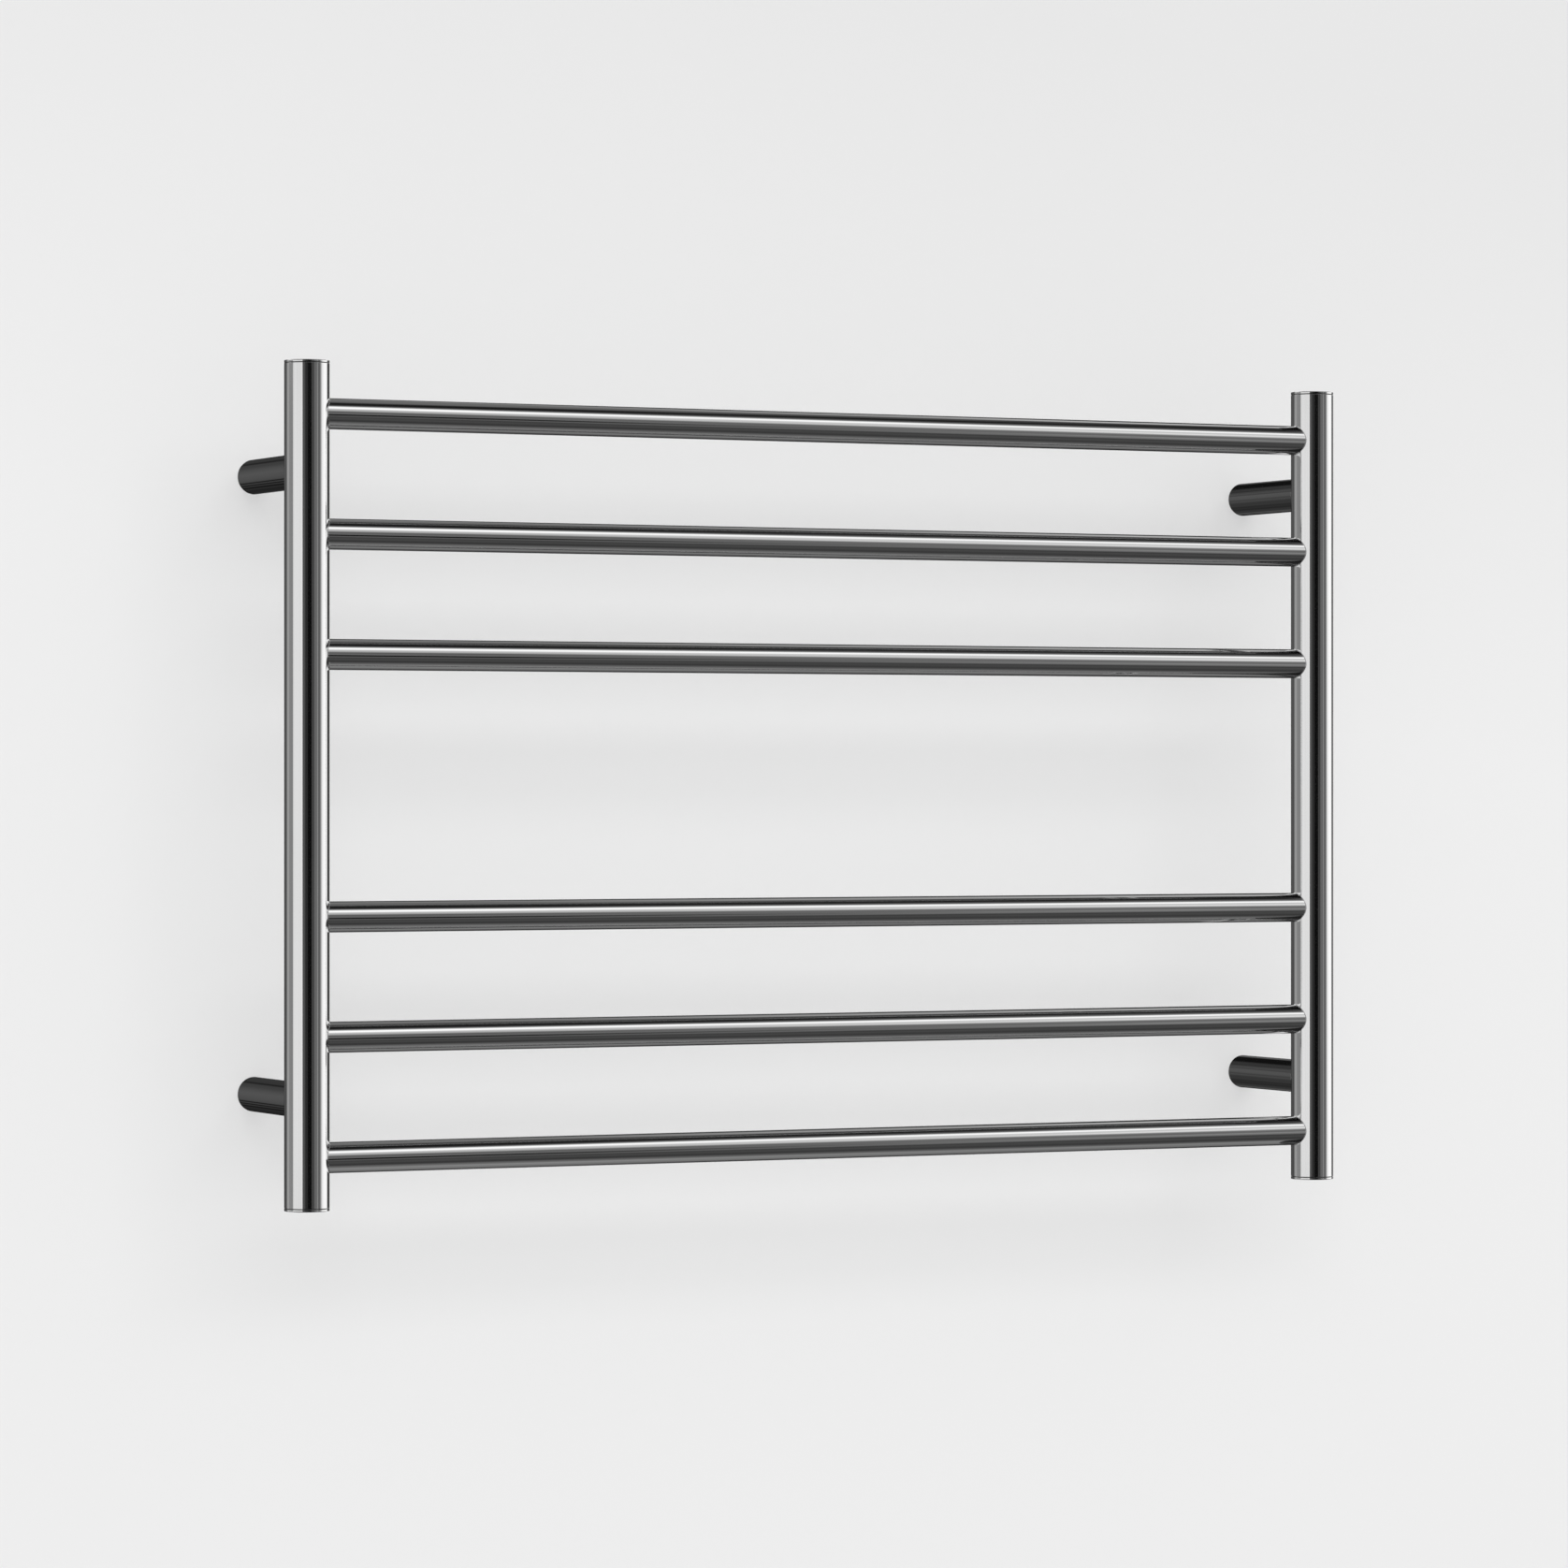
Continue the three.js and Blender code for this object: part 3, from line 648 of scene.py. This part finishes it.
# A cable along the route's edges, with every corner rounded to the same bend.
def makeCableTree():
    tree, given = newGeometryTree("cableRun", {
        "Route": "Geometry", "Radius": 0.003, "Bend Radius": 0.012, "Bend Steps": 12, "Sides": 24})
    path = addNode(tree, "GeometryNodeMeshToCurve", {"Mesh": given["Route"]})
    rounded = addNode(tree, "GeometryNodeFilletCurve", {
        "Curve": path, "Count": given["Bend Steps"], "Radius": given["Bend Radius"]}, mode="POLY")
    section = addNode(tree, "GeometryNodeCurvePrimitiveCircle", {
        "Resolution": given["Sides"], "Radius": given["Radius"]})
    run = addNode(tree, "GeometryNodeCurveToMesh", {
        "Curve": rounded, "Profile Curve": section, "Fill Caps": True})
    endGeometryTree(tree, run, given)
    return tree


cableRun = makeCableTree()


def cableMesh(points, look, material):
    route = bpy.data.meshes.new("route")
    route.from_pydata(points, [(i, i + 1) for i in range(len(points) - 1)], [])
    return grown(cableRun, {
        "Radius": look["diameter"] / 2 * mm, "Bend Radius": look["bend"] * mm,
        "Bend Steps": look["bendSteps"], "Sides": look["sides"], "Material": material}, route)


heating = {"diameter": 6.0, "bend": 12.0, "bendSteps": 12, "sides": 28,
           "underBars": 6.5,  # lies on the bottom of the bars' bores, so this far under their axes
           "intoSplice": 1.0, "intoSeal": 11.7}
spliceLow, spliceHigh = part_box("cable_joint")
sealLow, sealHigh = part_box("end_seal")
spliceZ, sealZ = (spliceLow.z + spliceHigh.z) / 2, (sealLow.z + sealHigh.z) / 2


def heatingRoute():  # out of the splice, then to and fro through the bars, from the lowest up
    x = -postX
    points = [(x, spliceLow.y + heating["intoSplice"] * mm, spliceZ), (x, postY, spliceZ)]
    for height in reversed(barHeights):
        z = height - heating["underBars"] * mm
        points += [(x, postY, z), (-x, postY, z)]
        x = -x
    points[-1] = (sealHigh.x - heating["intoSeal"] * mm, postY, sealZ)
    return points


finishPiece("heatingCable", cableMesh(heatingRoute(), heating, finish["extrudedSilicone"]), Matrix(),
            "heating_cable")

earth = {"diameter": 2.4, "bend": 6.0, "bendSteps": 10, "sides": 20, "intoBarrel": 1.5}
wireLow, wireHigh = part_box("earth_wire")
wireX, wireZ = (wireLow.x + wireHigh.x) / 2, wireHigh.z - earth["diameter"] / 2 * mm
wireRoute = [(wireX, postY, wireLow.z - earth["intoBarrel"] * mm), (wireX, postY, wireZ),
             (wireX, wireHigh.y, wireZ)]
finishPiece("earthWire", cableMesh(wireRoute, earth, makeEarthSleeve()), Matrix(),
            "earth_wire")
print("cables laid")

# A "half" is a profile of (radius, distance from the end) that is the same from either end.
splice = {"sides": 48, "half": [  # sleeve shrunk over the cables and two crimps
    (0, 0), (3.3, 0), (3.5, 0.3), (3.6, 2.4), (4.2, 4.2), (4.8, 5.6), (5.0, 7.2), (5.0, 9.5),
    (4.75, 10.6), (4.75, 13.0), (5.0, 14.1)]}
limiter = {"sides": 48, "half": [  # glazed tube with potted ends
    (0, 0.5), (2.8, 0.5), (2.8, 0.25), (3.05, 0), (3.7, 0), (4.0, 0.3)]}
grommet = {"sides": 48, "bore": 3.0, "neck": 3.7, "flange": 5.0, "lip": 0.45, "lipSteps": 8,
           "seat": 8.3, "ease": 0.3}
seal = {"sides": 40, "radius": 3.6, "gap": 0.3, "overlap": 12.0, "lip": 0.15, "endSteps": 10,
        "waist": 3.4, "waistRun": 1.2,
        "waistEnd": 7.0, "bulbStart": 5.0}  # from the closed end


def grommetProfile():  # closed round its bore
    bore, neck, seat, lip, ease = [grommet[size] for size in ("bore", "neck", "seat", "lip", "ease")]
    return [(bore + ease, 0), (neck - ease, 0), (neck, ease), (neck, seat),
            *bend(lip, (grommet["flange"] - lip, seat + lip), -90, 90, grommet["lipSteps"]),
            (bore + ease, seat + 2 * lip), (bore, seat + 2 * lip - ease), (bore, ease), (bore + ease, 0)]


def sealProfile(length):  # open for the cable at 0, closed at its length
    radius, waist, overlap, lip = seal["radius"], seal["waist"], seal["overlap"], seal["lip"]
    bore = heating["diameter"] / 2 + seal["gap"]
    return [(bore, 0), (radius - lip, 0), (radius, lip), (radius, overlap),
            (waist, overlap + seal["waistRun"]), (waist, length - seal["waistEnd"]),
            (radius, length - seal["bulbStart"]),
            *bend(radius, (0, length - radius), 0, 90, seal["endSteps"])[:-1],
            (0, length), (0, overlap), (bore, overlap), (bore, 0)]


for name, node, look, profile, material, slot in (
        ("cableJoint", "cable_joint", splice, None, "heatShrinkSleeve", "black_sleeve"),
        ("thermalLimiter", "thermal_limiter", limiter, None, "glazedSteatite", "ceramic"),
        ("entryGrommet", "entry_grommet", grommet, grommetProfile(), "mouldedRubber", "grey_rubber")):
    low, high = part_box(node)
    profile = profile or evenProfile(look["half"], (high.y - low.y) / mm)
    finishPiece(name, turned(name, profile, look["sides"], finish[material]),
                move(-postX, high.y, (low.z + high.z) / 2) @ alongY, node)
sealMesh = turned("seal", sealProfile((sealHigh.x - sealLow.x) / mm), seal["sides"],
                  finish["heatShrinkSleeve"])
finishPiece("endSeal", sealMesh, move(sealHigh.x, postY, sealZ) @ turn(-90, "Y"),
            "end_seal")

lug = {
    "ring": 4.0, "ringSteps": 36, "hole": 2.3, "plate": 0.8, "neck": 1.6, "neckSteps": 16,
    "barrel": 1.8, "barrelRaise": 0.1, "barrelBore": 1.25, "boreDepth": 2.8, "sides": 48,
    "barrelTurn": 0.03,  # radians, so that none of its corners touches the plate's edge
    "crimp": 1.55, "crimpAt": (2.2, 3.0, 5.0, 5.8),
}


def lugMesh():  # ring round the stud, its crimp barrel upright at -X
    low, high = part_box("earth_lug")
    ring, neck, barrel, crimp, bore, plateHeight = [
        lug[size] for size in ("ring", "neck", "barrel", "crimp", "barrelBore", "plate")]
    height, reach = (high.z - low.z) / mm, (-postX - low.x) / mm - barrel
    lean = math.degrees(math.acos((ring - neck) / reach))
    outline = [*bend(ring, (0, 0), lean - 180, 180 - lean, lug["ringSteps"]),
               *bend(neck, (-reach, 0), 180 - lean, 180 + lean, lug["neckSteps"])]
    shape = bmesh.new()
    layers = [[shape.verts.new((x * mm, y * mm, z * mm)) for x, y in outline] for z in (0, plateHeight)]
    for layer in layers:
        shape.faces.new(layer)
    for i in range(len(outline)):
        j = (i + 1) % len(outline)
        shape.faces.new((layers[0][i], layers[0][j], layers[1][j], layers[1][i]))
    plate = bmeshToMesh(shape, "plate", finish["tinnedCopper"])
    first, second, third, fourth = lug["crimpAt"]
    raised, bottom = lug["barrelRaise"], height - lug["boreDepth"]
    tube = turned("barrel", [
        (0, raised), (barrel, raised), (barrel, first), (crimp, second), (crimp, third),
        (barrel, fourth), (barrel, height), (bore, height), (bore, bottom), (0, bottom)],
        lug["sides"], finish["tinnedCopper"])
    tube.transform(move(-reach * mm, 0, 0) @ Matrix.Rotation(lug["barrelTurn"], 4, "Z"))
    hole = rodMesh(lug["hole"], plateHeight + 2 * overrun, lug["sides"], move(0, 0, -overrun * mm))
    mesh = drilled(plate, [hole], added=[tube])
    mesh.transform(move(-postX, postY, low.z))
    return mesh


nut = {
    "width": 7.0, "core": 2.1, "crest": 2.3, "threadPitch": 0.7, "sides": 48,
    "threadFrom": -0.9, "threadTo": 5.6, "threadTurns": 7,  # in pitches, past both faces
    "chamfer": 3.38, "chamferReach": 0.3,  # from just inside the flats to past the corners
}


def nutMesh():
    low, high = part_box("earth_nut")
    height, corner = (high.z - low.z) / mm, nut["width"] / math.sqrt(3)
    wide = corner + nut["chamferReach"]
    slope = (wide - nut["chamfer"]) / math.sqrt(3)  # thirty degrees
    cone = evenProfile([(0, -slope), (2 * nut["chamfer"] - wide, -slope), (wide, slope)], height)
    pitch, start = nut["threadPitch"], nut["threadFrom"] * nut["threadPitch"]
    thread = [(0, start), *threadRidges(nut["core"], nut["crest"], start, nut["threadTurns"], pitch),
              (0, nut["threadTo"] * pitch)]
    mesh = turned("nut", [(0, 0), (corner, 0), (corner, height), (0, height)], 6, turnedStainless)
    mesh = drilled(mesh, [turned("cutter", thread, nut["sides"])],
                   within=[turned("cutter", cone, nut["sides"])])
    mesh.transform(move(-postX, postY, low.z))
    return mesh


finishPiece("earthLug", lugMesh(), Matrix(), "earth_lug", sharpAngle=30)
finishPiece("earthNut", nutMesh(), Matrix(), "earth_nut", sharpAngle=30)
print("electrical parts made")

wall = {  # metres
    "width": 14.0, "height": 10.0, "behind": 0.0005, "colour": "EDEDED", "roughness": 0.9, "gloss": 0.2,
    # painted shade: the upper wall is painted a greyer tone, which stands in for less light falling
    # there
    "upper": "E5E5E5", "slant": (0.15, 0.0, 1.0), "paintedShadeEdges": (0.12, 0.62),  # a little greyer higher up
}


def makeWall():
    mesh = bpy.data.meshes.new("wall")
    x, y, z = wall["width"] / 2, wall["behind"], wall["height"] / 2
    mesh.from_pydata([(-x, y, -z), (x, y, -z), (x, y, z), (-x, y, z)], [], [(0, 1, 2, 3)])
    piece = newObject("wall", mesh)
    material, tree, place = newMaterial("mattPaintedPlaster")
    # Painted shade: the wall's colour turns greyer higher up, as if less light fell there.
    height = addNode(tree, "ShaderNodeVectorMath", {
        0: place, 1: wall["slant"]}, operation="DOT_PRODUCT")
    begin, end = wall["paintedShadeEdges"]
    paintedShadeShare = addNode(tree, "ShaderNodeMapRange", {"Value": height, "From Min": begin, "From Max": end})
    tone = addNode(tree, "ShaderNodeMix", {
        "Factor": paintedShadeShare, "A": linear(wall["colour"]), "B": linear(wall["upper"])}, data_type="RGBA")
    paint = addNode(tree, "ShaderNodeBsdfPrincipled", {
        "Base Color": tone, "Roughness": wall["roughness"], "Specular IOR Level": wall["gloss"]})
    clear = addNode(tree, "ShaderNodeBsdfTransparent")
    facing = addNode(tree, "ShaderNodeNewGeometry")
    # Seen from behind, the wall is open, so that the back of the rack can be looked at.
    oneSided = addNode(tree, "ShaderNodeMixShader", {
        0: facing.outputs["Backfacing"], 1: paint, 2: clear})
    addNode(tree, "ShaderNodeOutputMaterial", {"Surface": oneSided})
    mesh.materials.append(material)
    piece.visible_glossy = False  # the metal mirrors the dark room beyond, which keeps its edges drawn


# A strip overhead, so wide that only what lies level throws a shadow. Metres and watts.
keyLight = {"width": 13.0, "depth": 3.7, "height": 6.4, "distance": 8.5, "right": 0.2, "power": 222}


def makeKeyLight():
    data = bpy.data.lights.new("keyLight", "AREA")
    data.shape = "RECTANGLE"
    data.size, data.size_y = keyLight["width"], keyLight["depth"]
    data.energy = keyLight["power"]
    lamp = newObject("keyLight", data)
    lamp.location = (keyLight["right"], -keyLight["distance"], keyLight["height"])
    lamp.rotation_euler = (-lamp.location).to_track_quat("-Z", "Y").to_euler()
    lamp.visible_glossy = False  # the studio already shows the soft boxes


studio = {
    "evenLight": 0.9,  # pale room all round, which lights whatever is matt
    "thrown": 1.85,  # the same room where the metal throws it on the wall
    "strength": 2.02,  # soft boxes, as bright in the metal as their colours say
    # Soft boxes and flags: degrees, then a grey, as the two digits that red, green and blue share.
    "level": [  # at the object's own height, degrees from the front
        (-180, "11"), (-160, "25"), (-148, "3A"), (-142, "86"), (-126, "8E"), (-121, "7A"), (-97, "73"),
        (-94, "C5"), (-86, "D0"), (-52, "CE"), (-44, "DA"), (-42, "45"), (-33, "48"), (-26, "20"),
        (-18, "2B"), (-16, "0B"), (3, "0A"), (5, "45"), (15, "2F"), (17, "5A"), (32, "60"), (36, "89"),
        (39, "59"), (48, "53"), (57, "95"), (62, "D4"), (78, "EC"), (101, "E6"), (107, "53"),
        (112, "2F"), (130, "42"), (180, "11"),
    ],
    "overLeft": [  # from the floor behind, under and past the front, to the ceiling behind
        (-180, "0E"), (-150, "28"), (-142, "3B"), (-132, "44"), (-118, "6B"), (-105, "6D"), (-90, "7D"),
        (-78, "62"), (-68, "53"), (-58, "32"), (-51, "31"), (-38, "40"), (-25, "38"), (-17, "56"),
        (-13, "14"), (-9, "03"), (-5, "1D"), (2, "56"), (13, "51"), (21, "9A"), (32, "B1"), (38, "E7"),
        (43, "FA"), (48, "E1"), (57, "5C"), (66, "26"), (73, "0F"), (84, "20"), (98, "61"), (114, "5A"),
        (132, "73"), (150, "15"),
    ],
    "overRight": [
        (-180, "0E"), (-150, "28"), (-142, "35"), (-132, "41"), (-118, "67"), (-105, "68"), (-90, "77"),
        (-78, "53"), (-68, "3B"), (-60, "30"), (-50, "3A"), (-38, "40"), (-29, "32"), (-16, "6E"),
        (-5, "7D"), (4, "55"), (10, "6B"), (17, "A3"), (22, "D7"), (32, "B4"), (38, "B3"), (46, "FF"),
        (58, "69"), (68, "44"), (78, "0F"), (90, "2C"), (102, "25"), (119, "B4"), (126, "98"),
        (136, "44"), (148, "15"),
    ],
    "behind": [  # far side, round the way that the legs point: degrees from the right, upwards
        (-180, "48"), (-166, "46"), (-146, "40"), (-139, "39"), (-137, "19"), (-131, "19"),
        (-128, "37"), (-123, "37"), (-120, "13"), (-114, "13"), (-111, "31"), (-106, "31"),
        (-103, "11"), (-93, "13"), (-90, "26"), (-82, "26"), (-78, "1B"), (-40, "1B"), (-25, "2A"),
        (0, "2A"), (82, "2C"), (88, "1D"), (96, "1D"), (102, "33"), (122, "37"), (146, "44"),
        (168, "4A"), (180, "48"),
    ],
    "behindRight": [
        (-180, "48"), (-168, "37"), (-162, "42"), (-150, "31"), (-138, "2F"), (-128, "31"),
        (-120, "23"), (-108, "2A"), (-98, "1F"), (-84, "2C"), (-64, "2C"), (-58, "42"), (-46, "42"),
        (-36, "10"), (-10, "10"), (20, "4A"), (42, "4A"), (54, "0E"), (98, "0E"), (108, "2C"),
        (122, "2F"), (128, "26"), (134, "39"), (148, "42"), (154, "37"), (160, "4A"), (180, "48"),
    ],
    "ceiling": "A6A6A6",
    "strip": 0.43,  # how far to the right the strip stands that the crossbars show
    "edges": {  # what it reads of the direction, from where to where it changes, and its values there
        "aside": ("offStrip", 0.12, 0.2, 0.0, 1.0),  # away from the strip
        "right": ("right", 0.385, 0.486, 0.0, 1.0),  # from the left pattern overhead to the right one
        "above": ("height", 0.075, 0.1, 0.0, 1.0),  # where the level pattern gives way to those
        "low": ("height", 0.3, 0.5, 1.0, 0.0),  # how far up and down the level pattern still shows
        "farHalf": ("back", 0.0, 0.1, 0.0, 1.0),  # the half of the room behind the rack
        "flag": ("right", -0.1, 0.3, 0.25, 1.0),  # nothing bright hangs high on the left in front
        "ceiling": ("up", 0.905, 0.94, 0.0, 1.0),  # pale right overhead, away from the strip
        "behind": ("back", 0.78, 0.84, 0.0, 1.0),  # how far back the way that the legs point begins
        "farthest": ("back", 0.89, 0.91, 0.0, 1.0),  # from the right legs' part of it to the left legs'
    },
}


def softBoxes(tree, name, first, second):  # a pattern over the angle between two parts of the direction
    angle = addNode(tree, "ShaderNodeMath", {0: first, 1: second}, operation="ARCTAN2")
    share = addNode(tree, "ShaderNodeMapRange", {
        "Value": angle, "From Min": -math.pi, "From Max": math.pi})
    ramp = addNode(tree, "ShaderNodeValToRGB", {"Fac": share})
    stops = ramp.color_ramp.elements
    while len(stops) < len(studio[name]):
        stops.new(0.5)
    for stop, (degrees, grey) in zip(stops, studio[name]):
        stop.position = degrees / 360 + 0.5
        stop.color = linear(grey * 3)
    return ramp


def makeStudio():
    world = bpy.data.worlds.new("studio")
    bpy.context.scene.world = world
    world.use_nodes = True
    tree = world.node_tree
    tree.nodes.clear()
    right, back, up = addNode(tree, "ShaderNodeSeparateXYZ", {
        0: addNode(tree, "ShaderNodeTexCoord").outputs["Generated"]}).outputs
    front = addNode(tree, "ShaderNodeMath", {0: back, 1: -1.0}, operation="MULTIPLY")
    offStrip = addNode(tree, "ShaderNodeMath", {0: right, 1: studio["strip"]}, operation="SUBTRACT")
    offStrip, mirrored, height = [addNode(tree, "ShaderNodeMath", {0: value}, operation="ABSOLUTE")
                                  for value in (offStrip, back, up)]
    parts = {"right": right, "back": back, "up": up, "height": height, "offStrip": offStrip}
    edge = {name: addNode(tree, "ShaderNodeMapRange", {
        "Value": parts[part], "From Min": begin, "From Max": end, "To Min": first, "To Max": last})
        for name, (part, begin, end, first, last) in studio["edges"].items()}
    # Away from the strip that the crossbars show, the far half of the room repeats the near half.
    repeated = addNode(tree, "ShaderNodeMix", {"Factor": edge["aside"], "A": front, "B": mirrored})
    flag = addNode(tree, "ShaderNodeMath", {0: edge["flag"], 1: edge["farHalf"]}, operation="MAXIMUM")
    lowFar = addNode(tree, "ShaderNodeMath", {0: edge["low"], 1: edge["farHalf"]}, operation="MULTIPLY")
    reaches, isCeiling = [addNode(tree, "ShaderNodeMath", {
        0: edge["aside"], 1: value}, operation="MULTIPLY") for value in (lowFar, edge["ceiling"])]
    overhead = addNode(tree, "ShaderNodeMix", {
        "Factor": edge["right"], "A": softBoxes(tree, "overLeft", up, repeated),
        "B": softBoxes(tree, "overRight", up, repeated)}, data_type="RGBA")
    flagged = addNode(tree, "ShaderNodeVectorMath", {0: overhead, "Scale": flag}, operation="SCALE")
    extended = addNode(tree, "ShaderNodeMix", {
        "Factor": reaches, "A": flagged, "B": softBoxes(tree, "level", right, mirrored)},
        data_type="RGBA", blend_type="LIGHTEN")
    covered = addNode(tree, "ShaderNodeMix", {
        "Factor": isCeiling, "A": extended, "B": linear(studio["ceiling"])}, data_type="RGBA")
    around = addNode(tree, "ShaderNodeMix", {
        "Factor": edge["above"], "A": softBoxes(tree, "level", right, front), "B": covered},
        data_type="RGBA")
    farSide = addNode(tree, "ShaderNodeMix", {
        "Factor": edge["farthest"], "A": softBoxes(tree, "behindRight", up, right),
        "B": softBoxes(tree, "behind", up, right)}, data_type="RGBA")
    whole = addNode(tree, "ShaderNodeMix", {
        "Factor": edge["behind"], "A": around, "B": farSide}, data_type="RGBA")
    room, thrown = [addNode(tree, "ShaderNodeBackground", {
        "Color": (1.0, 1.0, 1.0, 1.0), "Strength": studio[name]}) for name in ("evenLight", "thrown")]
    boxes = addNode(tree, "ShaderNodeBackground", {"Color": whole, "Strength": studio["strength"]})
    backdrop = addNode(tree, "ShaderNodeBackground", {"Color": linear(wall["colour"])})
    ray = addNode(tree, "ShaderNodeLightPath").outputs
    # The metal shows the studio, while whatever light it throws on the wall comes from the plain room.
    isThrown = addNode(tree, "ShaderNodeMath", {
        0: ray["Diffuse Depth"], 1: 0.5}, operation="GREATER_THAN")
    inMetal = addNode(tree, "ShaderNodeMixShader", {0: isThrown, 1: boxes, 2: thrown})
    notMatt = addNode(tree, "ShaderNodeMixShader", {0: ray["Is Glossy Ray"], 1: room, 2: inMetal})
    seen = addNode(tree, "ShaderNodeMixShader", {0: ray["Is Camera Ray"], 1: notMatt, 2: backdrop})
    addNode(tree, "ShaderNodeOutputWorld", {"Surface": seen})


makeWall()
makeKeyLight()
makeStudio()
bpy.context.scene.view_settings.view_transform = "Standard"
print("wall, light and studio ready")
